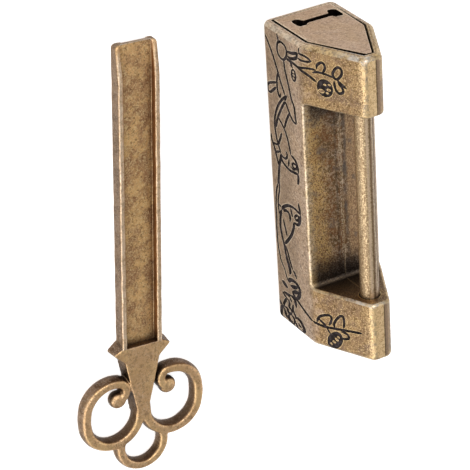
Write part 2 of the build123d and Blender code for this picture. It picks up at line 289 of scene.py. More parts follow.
def paint_gap_floor(s):
    """Floor of the gap: golden in front, paler behind, cast lines between, and painted shade at both ends."""
    floor = s.times(s.in_gap, s.ramp(s.nz, 0.75, 0.95), s.ramp(s.z, GAP_FLOOR + 1.5, GAP_FLOOR + 0.5))
    brown = s.mix(s.ramp(s.smear, 0.42, 0.58), UMBER, rgb(0.2, 0.095, 0.04))
    s.paint(brown, floor, s.ramp(s.fine, 0.62, 0.42, 0.1, 0.9))
    pale = s.mix(s.ramp(s.speck, 0.42, 0.6), rgb(0.32, 0.195, 0.11), rgb(0.6, 0.39, 0.21))
    s.paint(pale, floor, s.ramp(s.moved(s.y, s.drift, 0.8), 0.4, 1.6), 0.8)
    front = s.ramp(s.moved(s.y, s.stray, 9.0), -2.6, -6.0)
    s.paint(rgb(0.64, 0.43, 0.18), floor, front, s.ramp(s.speck, 0.4, 0.55), 0.85)
    s.paint(rgb(0.16, 0.14, 0.12), floor, s.ramp(s.tint, 0.54, 0.66), 0.55)
    wander = s.moved(s.y, s.drift, 0.5)
    broken_line = s.times(s.band(wander, 0.15, 0.0, 0.25), s.ramp(s.smear, 0.5, 0.6))
    s.paint(GRIME_AND_SHADE, floor, s.most(s.band(wander, -1.35, 0.1, 0.3), broken_line), 0.4)
    crest = s.times(s.band(wander, -0.35, 0.1, 0.3), s.ramp(s.speck, 0.42, 0.6))
    s.paint(rgb(0.62, 0.48, 0.33), floor, crest, 0.75)
    streak = s.times(s.band(s.moved(s.y, s.drift, 1.4), 0.95, 0.1, 0.6), s.ramp(s.tint, 0.34, 0.56, 0.2, 1.0))
    s.paint(rgb(0.105, 0.092, 0.082), floor, streak, 0.7)
    # Painted shade: the floor darkens towards the lugs at both ends of the gap.
    along = s.moved(s.x, s.drift, 5.0)
    near_corner = s.ramp(along, GAP_START + 7.5, GAP_START + 2.0)
    corners = s.most(near_corner, s.ramp(along, GAP_END - 8.0, GAP_END - 2.0))
    corner_shade = s.mix(s.ramp(s.speck, 0.45, 0.66), GRIME_AND_SHADE, rgb(0.17, 0.145, 0.125))
    s.paint(corner_shade, floor, corners, s.ramp(s.y, -8.4, -6.6), 0.92)


def paint_lug_faces(s):
    """Painted shade on the faces of the lugs that look into the gap, darkest low down and behind."""
    face = s.times(s.in_gap, s.ramp(s.absolute(s.nx), 0.75, 0.95))
    depth = s.plus(s.ramp(s.z, 25.0, 17.0), s.ramp(s.y, -7.0, 0.0, 0.0, 0.8), clamp=True)
    depth = s.times(depth, s.ramp(s.smear, 0.3, 0.6, 1.0, 0.75))
    s.paint(s.mix(s.fine, GRIME_AND_SHADE, rgb(0.15, 0.1, 0.06)), face, depth)


def paint_edges(s):
    """Grey and silver on the rounded edges, the silver partly a painted highlight; a painted highlight on the
    gap's front lip; painted shade low in the gap's corners; and the places that hands have rubbed bright.
    """
    inner = s.times(
        s.in_gap,
        s.ramp(s.absolute(s.y), HALF_WIDTH - 0.5, HALF_WIDTH - 1.3),
        s.ramp(s.z, GAP_FLOOR + 1.6, GAP_FLOOR + 1.1),
        s.ramp(s.z, GAP_FLOOR - 0.3, GAP_FLOOR - 0.1),
    )
    bent = s.times(rounded_edges(s), s.invert(inner))
    # Painted shade: dark grey low on the lug faces and in their corners with the gap floor.
    s.paint(rgb(0.085, 0.078, 0.07), inner, s.ramp(s.nz, 0.97, 0.85), 0.6)
    s.paint(rgb(0.2, 0.17, 0.15), bent, s.ramp(s.smear, 0.44, 0.6), 0.7)
    end_rim = s.times(s.ramp(s.x, NEAR_END + 1.9, NEAR_END + 0.7), bent)
    # Silver on the upper front rims: partly worn metal, partly a painted highlight.
    silver = s.times(end_rim, s.ramp(s.z, 22.5, 28.0), s.ramp(s.y, 1.0, -1.5), s.ramp(s.smear, 0.28, 0.62))
    s.paint(SILVER, silver, s.ramp(s.fine, 0.3, 0.6, 0.45, 0.9))
    lip = s.times(s.in_gap, s.ramp(s.nz, 0.2, 0.6), s.band(s.z, GAP_FLOOR - 0.2, 0.7, 0.3))
    frayed = s.moved(s.y, s.minus(s.fine, 0.5), 2.6)
    lip = s.times(lip, s.ramp(frayed, 2.3 - HALF_WIDTH, 0.6 - HALF_WIDTH))
    gap_edge = s.times(s.in_gap, s.band(s.z, GAP_FLOOR, 0.6, 0.3), s.ramp(s.y, -7.6, -8.4))
    s.wear = s.invert(s.times(gap_edge, s.ramp(s.fine, 0.6, 0.45, 0.5, 1.0)))
    s.paint(rgb(0.24, 0.165, 0.09), gap_edge, s.ramp(s.fine, 0.52, 0.4), 0.5)
    # Pale on the gap's front lip: a painted highlight, partly wear.
    front_top = s.ramp(s.moved(s.z, s.fine, 1.2), 15.0, 16.0)
    s.paint(rgb(0.66, 0.51, 0.35), s.in_gap, s.ramp(s.ny, -0.5, -0.9), front_top, 0.4)
    # Silver on the far lug's upper rim: partly worn metal, partly a painted highlight.
    far_rim = s.times(bent, s.band(s.x, GAP_END + 0.2, 0.5, 0.3), s.ramp(s.z, 21.0, 27.0))
    far_rim = s.times(far_rim, s.ramp(s.y, 1.5, -0.5))
    s.paint(SILVER, far_rim, s.ramp(s.smear, 0.34, 0.54, 0.3, 0.9))
    s.worn = s.mix(s.times(s.high, s.invert(silver, clamp=True)), WORN, rgb(0.78, 0.57, 0.29))
    s.rubbed = s.most(
        s.times(lip, s.ramp(s.fine, 0.38, 0.6, 0.2, 0.75)),
        s.times(bent, s.ramp(s.tint, 0.4, 0.6, 0.15, 0.6)),
        s.times(end_rim, s.ramp(s.fine, 0.35, 0.6, 0.15, 0.5)),
        s.times(far_rim, s.ramp(s.fine, 0.35, 0.6, 0.1, 0.4)),
    )


def lock_zones(s):
    """The lock, painted from its broad faces to its edges, with what its sections share."""
    s.drift = s.minus(s.smear, 0.5)
    s.stray = s.minus(s.blotch, 0.5)
    s.tint = s.noise(s.place, 0.28, 3.0, 0.6)
    past_start = s.ramp(s.x, GAP_START - 0.3, GAP_START + 0.3)
    s.in_gap = s.times(past_start, s.ramp(s.x, GAP_END + 0.3, GAP_END - 0.3))
    for section in (paint_slopes, paint_apex, paint_gap_floor, paint_lug_faces, paint_edges):
        section(s)
    # Painted shade: the walls of the plate's seat, near black.
    s.paint(HOLE_SHADE, seat_walls(s))


def plate_zones(s):
    """Painted shade: dark walls of the keyhole and of the gap round the keyhole plate."""
    walls = s.times(s.ramp(s.absolute(s.nx), 0.4, 0.15), s.ramp(s.x, 0.5, -0.5))
    s.wear = s.invert(walls)
    s.paint(HOLE_SHADE, walls)


def rod_zones(s):
    """Golden grain on the front of the rod, a dark parting line, and a duller back."""
    s.paint(rgb(0.26, 0.18, 0.105), s.ramp(s.y, -0.6, -1.1), 0.65)
    s.paint(rgb(0.24, 0.15, 0.075), s.ramp(s.fine, 0.52, 0.38), 0.65)
    s.paint(rgb(0.84, 0.65, 0.38), s.ramp(s.speck, 0.5, 0.64), s.ramp(s.y, 0.0, -0.6), 0.6)
    # Pale line along the front of the rod: partly a painted highlight, partly wear.
    s.paint(rgb(0.8, 0.61, 0.44), s.band(s.y, -0.55, 0.15, 0.25), 0.5)
    dull = s.mix(s.ramp(s.smear, 0.4, 0.6), rgb(0.19, 0.13, 0.092), rgb(0.33, 0.235, 0.17))
    s.paint(dull, s.ramp(s.y, PARTING_Y - 0.9, PARTING_Y + 0.1), 0.8)
    s.paint(rgb(0.16, 0.1, 0.075), s.band(s.y, PARTING_Y - 0.1, 0.2, 0.3), 0.35)
    faint_line = s.times(s.band(s.y, PARTING_Y + 0.35, 0.05, 0.2), 0.7)
    lines = s.most(s.band(s.y, PARTING_Y - 0.55, 0.08, 0.2), faint_line)
    s.paint(UMBER, lines, s.ramp(s.z, ROD_HEIGHT, ROD_HEIGHT + 0.5), 0.7)


def key_zones(s):
    """Golden web, sides made dull and dark as painted shade, painted shade inside the scrolls and on the
    collar, and rubbed tops of the flanges.
    """
    offset = s.plus(s.y, KEY_DISTANCE)
    u, v = s.along(s.x, offset, KEY_AHEAD), s.along(s.x, offset, KEY_SIDE)
    facing_u = s.along(s.nx, s.ny, KEY_AHEAD)
    facing_v = s.times(s.along(s.nx, s.ny, KEY_SIDE), s.math("SIGN", v))
    tint = s.noise(s.place, 0.25, 3.0, 0.6)
    up = s.ramp(s.nz, 0.35, 0.85)
    side = s.ramp(s.absolute(s.nz), 0.7, 0.25)
    blade = s.ramp(u, BLADE_END_U + 0.3, BLADE_END_U - 0.1)
    web = s.times(up, s.ramp(s.z, 2.0, 1.75), blade)
    s.paint(rgb(0.48, 0.29, 0.13), up, s.invert(web), s.ramp(tint, 0.4, 0.62), 0.35)
    s.paint(rgb(0.24, 0.145, 0.08), up, s.ramp(s.smear, 0.54, 0.68), 0.4)
    s.paint(rgb(0.9, 0.63, 0.33), up, s.invert(blade), s.ramp(s.blotch, 0.48, 0.6), 0.4)
    s.paint(s.mix(s.ramp(tint, 0.42, 0.58), rgb(0.47, 0.26, 0.125), rgb(0.8, 0.5, 0.215)), web, 0.9)
    ends = s.ramp(s.absolute(s.plus(u, 4.0)), 14.0, 32.0)
    s.paint(rgb(0.82, 0.5, 0.24), web, ends, s.ramp(s.smear, 0.6, 0.4), 0.5)
    s.paint(rgb(0.33, 0.16, 0.08), web, s.ramp(s.smear, 0.5, 0.66), 0.5)
    s.paint(rgb(0.38, 0.22, 0.11), web, s.ramp(s.blotch, 0.56, 0.66), 0.35)
    # Painted shade on the collar's facets that face the blade.
    collar = s.times(s.ramp(u, BLADE_END_U - 0.9, BLADE_END_U - 0.4), s.ramp(facing_u, -0.5, -0.8))
    s.paint(rgb(0.16, 0.075, 0.035), collar, 0.85)
    s.paint(rgb(0.2, 0.11, 0.05), web, s.ramp(s.fine, 0.46, 0.34), 0.7)
    s.paint(rgb(0.9, 0.68, 0.36), web, s.ramp(s.speck, 0.52, 0.64), 0.7)
    # Painted shade: the key's sides, dark brown.
    s.paint(s.mix(s.ramp(s.smear, 0.38, 0.6), rgb(0.08, 0.048, 0.03), rgb(0.21, 0.14, 0.092)), side, 0.8)
    s.paint(rgb(0.5, 0.4, 0.32), side, s.ramp(s.speck, 0.56, 0.68), 0.5)
    # Orange-brown on the flanges' inner walls: a lighter, redder painted shade there than on the outer sides.
    inner_wall = s.times(s.ramp(facing_v, -0.4, -0.8), side, blade, s.ramp(s.z, 1.3, 1.7))
    s.paint(s.mix(s.smear, rgb(0.28, 0.13, 0.05), rgb(0.62, 0.33, 0.14)), inner_wall, 0.85)
    # Painted shade on the inner walls of the scroll loops.
    to_middle = s.times(s.minus(LOOP_U, u), facing_u)
    to_middle = s.plus(to_middle, s.times(s.minus(LOOP_V, s.absolute(v)), facing_v))
    loop = s.times(s.ramp(to_middle, 1.0, 4.0), s.ramp(u, BLADE_END_U + 4.0, BLADE_END_U + 6.0))
    s.paint(rgb(0.1, 0.055, 0.028), loop, side, 0.6)
    s.worn = rgb(0.76, 0.64, 0.51)
    s.wear = s.ramp(u, BLADE_END_U - 1.0, BLADE_END_U + 1.0, 1.0, 0.45)
    crest = s.times(up, blade, s.ramp(s.moved(s.z, s.fine, 0.6), 2.3, 3.1))
    s.rubbed = s.times(crest, s.ramp(s.smear, 0.35, 0.55, 0.8, 0.5), s.ramp(v, -1.0, 1.0, 1.0, 0.75))


def bronze(name, flat, warm, grain=1.0, rough=0.42, wear=1.0, patch=1.0, shade=1.0, zones=None):
    """Antique bronze: blotchy patina, fine cast grain, painted shade in recesses and pale rubbed edges."""
    s = Surface(bpy.data.materials.new(name))
    s.colour = s.mix(s.ramp(s.blotch, 0.36, 0.64), flat, warm)
    s.paint(DARK, s.ramp(s.smear, 0.5, 0.74), 0.4 * patch)
    s.paint(DARK, s.ramp(s.fine, 0.52, 0.34), 0.5 * grain)
    s.paint(WORN, s.ramp(s.speck, 0.56, 0.7), 0.5 * grain)
    if zones:
        zones(s)
    soft = s.add("ShaderNodeBevel", {"Radius": 0.5 * MM}, samples=6)[0]
    agree = s.add("ShaderNodeVectorMath", {0: soft, 1: s.normal}, operation="DOT_PRODUCT")["Value"]
    hollow = s.occlusion(3.5)
    broad = s.occlusion(12.0)
    edge = s.times(s.ramp(agree, 0.985, 0.86), s.ramp(hollow, 0.55, 0.85), s.wear, wear)
    edge = s.plus(edge, s.rubbed, clamp=True)
    edge = s.math("MULTIPLY", edge, s.ramp(s.fine, 0.3, 0.6, 0.35, 1.0), clamp=True)
    s.paint(s.worn, edge)
    # Painted shade: darker where the occlusion finds hollows and corners, near and farther off.
    s.paint(GRIME_AND_SHADE, s.ramp(hollow, 0.8, 0.35), 0.9 * shade)
    s.paint(GRIME_AND_SHADE, s.ramp(broad, 0.95, 0.5), 0.75 * shade)
    shine = s.minus(s.ramp(s.fine, 0.3, 0.7, rough + 0.1, rough - 0.06), s.times(edge, 0.08))
    height = s.plus(s.times(s.fine, 0.5), s.times(s.speck, 0.5))
    grainy = {"Height": height, "Strength": 0.45 * grain, "Distance": 0.22 * MM}
    grainy = s.add("ShaderNodeBump", grainy)[0]
    uneven = {"Height": s.smear, "Strength": 0.3, "Distance": 0.5 * MM, "Normal": grainy}
    uneven = s.add("ShaderNodeBump", uneven)[0]
    values = {"Base Color": s.colour, "Metallic": 1.0, "Roughness": shine, "Normal": uneven}
    return s.finish(s.add("ShaderNodeBsdfPrincipled", values)[0])


def filled_line():
    """Black-brown wax and dirt that sits in the engraved lines."""
    s = Shader(bpy.data.materials.new("filled_line"))
    patchy = s.noise(s.place_in_mm(), 1.1, 2.0)
    colour = s.mix(s.ramp(patchy, 0.42, 0.66), rgb(0.012, 0.008, 0.007), rgb(0.045, 0.034, 0.034))
    values = {"Base Color": colour, "Roughness": 0.7, "Specular IOR Level": 0.15}
    return s.finish(s.add("ShaderNodeBsdfPrincipled", values)[0])


cast_bronze = bronze("cast_bronze", BODY_FLAT, BODY_WARM, grain=1.2, zones=lock_zones)
plate_bronze = bronze(
    "plate_bronze", rgb(0.46, 0.315, 0.215), rgb(0.44, 0.295, 0.18), grain=0.65, patch=0.8, zones=plate_zones
)
rod_bronze = bronze("rod_bronze", rgb(0.6, 0.44, 0.27), rgb(0.56, 0.4, 0.23), grain=0.9, zones=rod_zones)
key_bronze = bronze(
    "key_bronze", rgb(0.7, 0.455, 0.25), rgb(0.63, 0.395, 0.185), patch=0.6, shade=0.6, zones=key_zones
)
seam_bronze = bronze("seam_bronze", BODY_FLAT, BODY_WARM, grain=1.2, wear=0.25, zones=lock_zones)
spring_brass = bronze("spring_brass", rgb(0.6, 0.45, 0.22), rgb(0.58, 0.42, 0.2), grain=0.3, rough=0.3)
line_filler = filled_line()

finishes = (
    (cast_bronze, "lock_body"),
    (plate_bronze, "keyhole_plate", "bolt_plate"),
    (rod_bronze, "shackle_rod", "bolt_stem"),
    (spring_brass, "leaf_rivets", "spring_leaf_front", "spring_leaf_back"),
    (key_bronze, "key"),
)
for finish, *names in finishes:
    for name in names:
        cover(nodes[name].data, finish)


# Mesh helpers. Shapes are built in mm and written in metres.
def mesh_from(name, points, faces):
    mesh = bpy.data.meshes.new(name)
    mesh.from_pydata([Vector(p) * MM for p in points], [], faces)
    mesh.validate()
    return mesh


def drop(*objects):
    for each in objects:
        bpy.data.objects.remove(each)


def edit_mesh(mesh, *changes):
    """Makes changes to a mesh in its editable form."""
    work = bmesh.new()
    work.from_mesh(mesh)
    for change in changes:
        change(work)
    work.to_mesh(mesh)
    work.free()


def weld(distance):
    """Change that joins points closer than a distance in mm."""
    return lambda work: bmesh.ops.remove_doubles(work, verts=work.verts, dist=distance * MM)


def turn_outwards(work):
    bmesh.ops.recalc_face_normals(work, faces=work.faces)


def sharpen_borders(work):
    """Keeps the edge sharp where two materials meet."""
    for edge in work.edges:
        if len({face.material_index for face in edge.link_faces}) > 1:
            edge.smooth = False


def modify(piece, kind, **settings):
    """Adds a modifier with its settings."""
    made = piece.modifiers.new(kind, kind)
    for key, value in settings.items():
        setattr(made, key, value)


def combine(piece, operation, other):
    """Joins another solid to the piece, or cuts it out."""
    modify(piece, "BOOLEAN", operation=operation, solver="MANIFOLD", material_mode="INDEX", object=other)


def bake_modifiers(piece):
    """Replaces the piece's mesh by what its modifiers make of it."""
    seen = bpy.context.evaluated_depsgraph_get()
    made = bpy.data.meshes.new_from_object(piece.evaluated_get(seen))
    piece.modifiers.clear()
    old, piece.data = piece.data, made
    bpy.data.meshes.remove(old)


def shade_smooth(piece, angle=32.0):
    """Shades a piece smoothly, and keeps sharp edges, borders of materials and flat faces clean."""
    piece.data.shade_smooth()
    piece.data.set_sharp_from_angle(angle=math.radians(angle))
    edit_mesh(piece.data, sharpen_borders)
    modify(piece, "WEIGHTED_NORMAL", keep_sharp=True)
    bake_modifiers(piece)
    return piece


def loft(name, rings):
    """Closed skin through rings of equally many points, with an end face on each end."""
    size = len(rings[0])
    points = [p for ring in rings for p in ring]
    faces = [tuple(reversed(range(size)))]
    last = len(points) - size
    for start in range(0, last, size):
        for i in range(size):
            j = (i + 1) % size
            faces.append((start + i, start + j, start + size + j, start + size + i))
    faces.append(tuple(range(last, len(points))))
    return mesh_from(name, points, faces)


def spline(points, step):
    """Points of a smooth curve through the given ones, about a step apart."""
    points = [Vector(p) for p in points]
    closed = (points[0] - points[-1]).length < 1e-6
    before = points[-2] if closed else 2 * points[0] - points[1]
    after = points[1] if closed else 2 * points[-1] - points[-2]
    guide = [before, *points, after]
    found = []
    for a, b, c, d in zip(guide, guide[1:], guide[2:], guide[3:]):
        bend, twist = 2 * a - 5 * b + 4 * c - d, 3 * b - a - 3 * c + d
        count = max(1, round((c - b).length / step))
        for i in range(count):
            u = i / count
            found.append(0.5 * (2 * b + (c - a) * u + bend * u**2 + twist * u**3))
    found.append(points[-1])
    return found


def heading(path, i):
    """Way that a path takes at a point."""
    return path[min(i + 1, len(path) - 1)] - path[max(i - 1, 0)]


# Front skin of the lock: t runs up the front face, round the shoulder and on up the slope
def skin(x, t):
    """Point on the front of the lock and the direction that points out of it."""
    past = t - SIDE_HEIGHT
    angle = clamped((past + shoulder_reach) / (2 * shoulder_reach)) * shoulder_turn
    out = Vector((0.0, -math.cos(angle), math.sin(angle)))
    if past < -shoulder_reach:
        return Vector((x, -HALF_WIDTH, t)), out
    if past > shoulder_reach:
        return Vector((x, -HALF_WIDTH, SIDE_HEIGHT)) + slope_run * past, out
    centre = Vector((x, SHOULDER_RADIUS - HALF_WIDTH, SIDE_HEIGHT - shoulder_reach))
    return centre + out * SHOULDER_RADIUS, out


def skin_normal(place):
    """Direction out of the front skin at a place in mm, or None where the place isn't on it."""
    along = Vector((0.0, place.y + HALF_WIDTH - SHOULDER_RADIUS, place.z - SIDE_HEIGHT + shoulder_reach))
    angle = min(max(math.atan2(along.z, -along.y), 0.0), shoulder_turn)
    out = Vector((0.0, -math.cos(angle), math.sin(angle)))
    return out if abs(along.dot(out) - SHOULDER_RADIUS) < 0.004 else None


def true_normals(piece):
    """Gives the front skin its exact normals, so that the cut lines leave the shading beside them alone."""
    mesh = piece.data
    normals = [Vector(corner.vector) for corner in mesh.corner_normals]
    for face in mesh.polygons:
        for corner in face.loop_indices:
            out = skin_normal(mesh.vertices[mesh.loops[corner].vertex_index].co / MM)
            if out and face.material_index == 0 and out.dot(face.normal) > 0.97:
                normals[corner] = out
    mesh.normals_split_custom_set(normals)


# Engraving: widths and (x, t) points in mm
FINE, PLAIN, BOLD, BROAD = 0.44, 0.56, 0.68, 0.9
near_flowers = [
    (PLAIN, (-33.6, 7.2), (-32.8, 6.5), (-31.5, 6.3), (-30.5, 6.7), (-30.0, 7.6), (-30.0, 8.7), (-30.9, 9.8),
     (-32.0, 10.2), (-33.0, 10.0), (-33.6, 9.3), (-33.8, 8.3), (-33.6, 7.2)),
    (PLAIN, (-35.2, 6.5), (-34.4, 6.7), (-33.6, 7.2)),
    (BOLD, (-32.5, 10.3), (-32.8, 12.2), (-33.4, 13.9), (-33.6, 14.9)),
    (BOLD, (-31.5, 10.2), (-31.4, 11.4), (-31.7, 12.7), (-32.4, 14.0), (-33.4, 14.7)),
    (PLAIN, (-33.8, 14.9), (-33.8, 16.3), (-33.4, 17.5), (-32.8, 18.5)),
    (PLAIN, (-32.6, 14.6), (-32.5, 16.0), (-32.5, 17.2), (-32.8, 18.5)),
    (FINE, (-35.2, 15.3), (-34.4, 15.2), (-33.8, 15.5)),
    (BOLD, (-30.7, 9.7), (-30.7, 12.0), (-30.5, 14.3), (-30.1, 16.0), (-29.5, 17.5), (-28.4, 19.5)),
    (PLAIN, (-30.4, 14.3), (-30.9, 16.3), (-31.1, 18.0), (-31.1, 19.5)),
    (BOLD, (-30.4, 11.3), (-30.0, 11.9), (-29.4, 12.4)),
    (BOLD, (-31.3, 19.6), (-32.1, 19.7), (-32.8, 20.3), (-33.1, 21.0), (-32.8, 21.5), (-32.1, 21.7),
     (-31.3, 21.4), (-30.8, 20.9)),
    (PLAIN, (-30.3, 18.5), (-30.7, 19.6), (-30.7, 20.7), (-30.6, 22.1), (-30.3, 23.7)),
    (BOLD, (-30.4, 23.7), (-31.4, 23.6), (-32.5, 24.3), (-32.9, 25.1), (-32.4, 25.7), (-31.5, 25.7),
     (-30.7, 25.2), (-30.1, 24.5), (-30.4, 23.7)),
    (BOLD, (-29.7, 23.8), (-28.6, 23.9), (-27.4, 24.3), (-27.0, 25.1), (-27.5, 25.9), (-28.2, 25.8),
     (-29.0, 25.2), (-29.7, 24.6)),
    (BOLD, (-29.9, 24.6), (-29.3, 25.4), (-28.8, 26.2), (-28.4, 26.8)),
]
near_wings = [
    (PLAIN, (-30.2, 8.8), (-28.0, 9.1), (-26.6, 9.6), (-24.1, 10.5), (-21.9, 11.2), (-20.4, 12.2),
     (-18.8, 12.4), (-16.6, 12.8)),
    (PLAIN, (-16.6, 12.8), (-16.9, 11.4), (-18.3, 10.0), (-19.6, 9.1), (-20.5, 8.4)),
    (PLAIN, (-33.3, 1.4), (-30.6, 3.6), (-28.0, 5.2), (-26.2, 6.2), (-24.8, 6.8), (-23.4, 7.6), (-21.7, 8.6)),
    (PLAIN, (-26.1, 6.2), (-24.8, 5.7), (-23.5, 5.5), (-22.0, 5.6), (-20.9, 5.9), (-20.3, 6.3)),
    (PLAIN, (-23.5, 5.4), (-22.8, 3.5), (-22.0, 1.9), (-21.0, 1.4), (-20.2, 1.7), (-20.2, 2.5), (-21.2, 3.8),
     (-22.3, 5.1)),
    (PLAIN, (-21.5, 6.8), (-20.8, 6.6), (-20.3, 6.2)),
    (BOLD, (-21.8, 9.4), (-21.0, 8.6), (-20.3, 8.3)),
    (PLAIN, (-21.9, 9.5), (-20.8, 7.9), (-19.3, 6.4), (-17.7, 5.2), (-16.0, 4.3), (-14.5, 3.8), (-12.8, 3.6),
     (-10.7, 3.9), (-8.5, 4.7), (-6.8, 5.6)),
    (PLAIN, (-20.2, 8.5), (-18.8, 7.4), (-17.0, 6.2), (-15.2, 5.1), (-13.7, 4.5), (-12.5, 4.1)),
    (PLAIN, (-18.1, 10.1), (-16.1, 8.8), (-13.8, 7.7)),
]
first_bird = [
    (PLAIN, (-15.3, 5.2), (-14.4, 6.5), (-13.4, 7.6), (-12.4, 8.3), (-11.2, 8.9), (-9.9, 9.3), (-8.1, 9.8)),
    (PLAIN, (-12.0, 6.4), (-10.7, 5.8), (-9.5, 5.2), (-8.5, 4.7)),
    (PLAIN, (-10.2, 1.8), (-8.8, 2.0), (-7.3, 2.9), (-5.2, 3.7), (-3.4, 4.5)),
    (PLAIN, (-8.1, 2.4), (-8.3, 3.6), (-8.4, 4.7)),
    (PLAIN, (-6.3, 3.4), (-7.1, 5.2)),
    (BOLD, (-6.8, 5.6), (-5.7, 5.4), (-4.4, 4.9), (-3.2, 4.6), (-1.7, 4.3), (-0.1, 4.0), (1.3, 3.6)),
    (BOLD, (-6.2, 5.5), (-5.3, 5.9), (-4.7, 6.9), (-4.3, 8.3), (-4.2, 9.6), (-4.5, 11.4), (-4.7, 12.3)),
    (PLAIN, (-6.8, 5.5), (-6.3, 6.3), (-6.3, 7.3), (-6.9, 8.1), (-7.7, 8.2), (-8.2, 7.7)),
    (PLAIN, (-6.8, 9.0), (-6.0, 8.8), (-4.8, 8.4)),
    (BOLD, (-8.1, 9.8), (-7.9, 10.7), (-7.5, 11.6), (-6.9, 12.1), (-5.9, 12.5), (-4.9, 12.6)),
    (BOLD, (-4.9, 12.4), (-3.9, 12.5), (-2.9, 12.4), (-2.0, 12.0)),
    (PLAIN, (-6.4, 10.3), (-6.6, 11.3), (-6.3, 12.0), (-5.6, 11.7), (-5.5, 10.8), (-5.8, 10.3), (-6.4, 10.3)),
    (FINE, (-5.4, 9.5), (-5.0, 10.3), (-5.2, 11.4)),
]
branches = [
    (FINE, (1.3, 3.6), (2.7, 3.0), (4.3, 2.6), (5.9, 2.4), (7.6, 2.2), (10.3, 2.2), (12.9, 2.0), (16.2, 2.1),
     (17.8, 2.3), (19.1, 2.7), (20.3, 3.0), (21.4, 3.8), (22.4, 4.6), (23.8, 5.2), (24.5, 5.8)),
    (FINE, (-0.2, 4.1), (1.6, 4.2), (3.0, 4.0), (4.2, 3.6), (5.4, 3.3), (6.6, 3.2), (7.7, 3.3), (9.0, 3.7)),
]
second_bird = [
    (PLAIN, (6.4, 3.3), (6.7, 4.5)),
    (PLAIN, (8.3, 3.1), (8.7, 3.8)),
    (BOLD, (7.3, 4.6), (8.9, 4.0), (10.7, 3.7), (12.2, 3.7), (13.5, 4.0), (14.6, 4.4), (15.6, 4.8),
     (17.6, 5.3), (19.2, 6.0), (21.2, 7.0), (22.6, 6.5)),
    (BOLD, (7.2, 4.6), (6.2, 5.5), (5.2, 7.1), (4.7, 8.7), (4.6, 10.3), (4.8, 11.6), (5.0, 12.6)),
    (BOLD, (2.5, 11.9), (3.3, 12.1), (4.2, 12.4), (5.0, 12.6)),
    (BOLD, (5.0, 12.6), (6.2, 12.4), (7.2, 12.1), (8.0, 11.4), (8.3, 10.5), (8.2, 9.6)),
    (BOLD, (8.2, 9.6), (9.3, 9.5), (10.8, 8.9), (12.3, 8.0), (14.0, 6.6), (15.4, 5.2)),
    (PLAIN, (6.4, 10.3), (5.8, 11.2), (6.0, 11.8), (6.7, 11.6), (7.2, 10.8), (7.0, 10.2), (6.4, 10.3)),
    (PLAIN, (5.2, 8.5), (6.2, 8.8), (7.2, 9.2)),
    (BOLD, (7.3, 5.3), (6.7, 6.4), (6.7, 7.3), (7.2, 7.9), (8.0, 8.1), (8.8, 7.8)),
    (PLAIN, (9.3, 5.0), (10.7, 5.5), (11.9, 6.0), (13.2, 6.3)),
    (PLAIN, (15.7, 5.3), (17.0, 6.2), (18.3, 6.7), (19.3, 7.2), (20.8, 8.0)),
    (BOLD, (20.8, 8.0), (21.4, 8.9), (22.4, 9.6)),
    (PLAIN, (18.6, 5.3), (19.8, 5.9), (20.9, 6.4), (22.4, 6.9)),
]
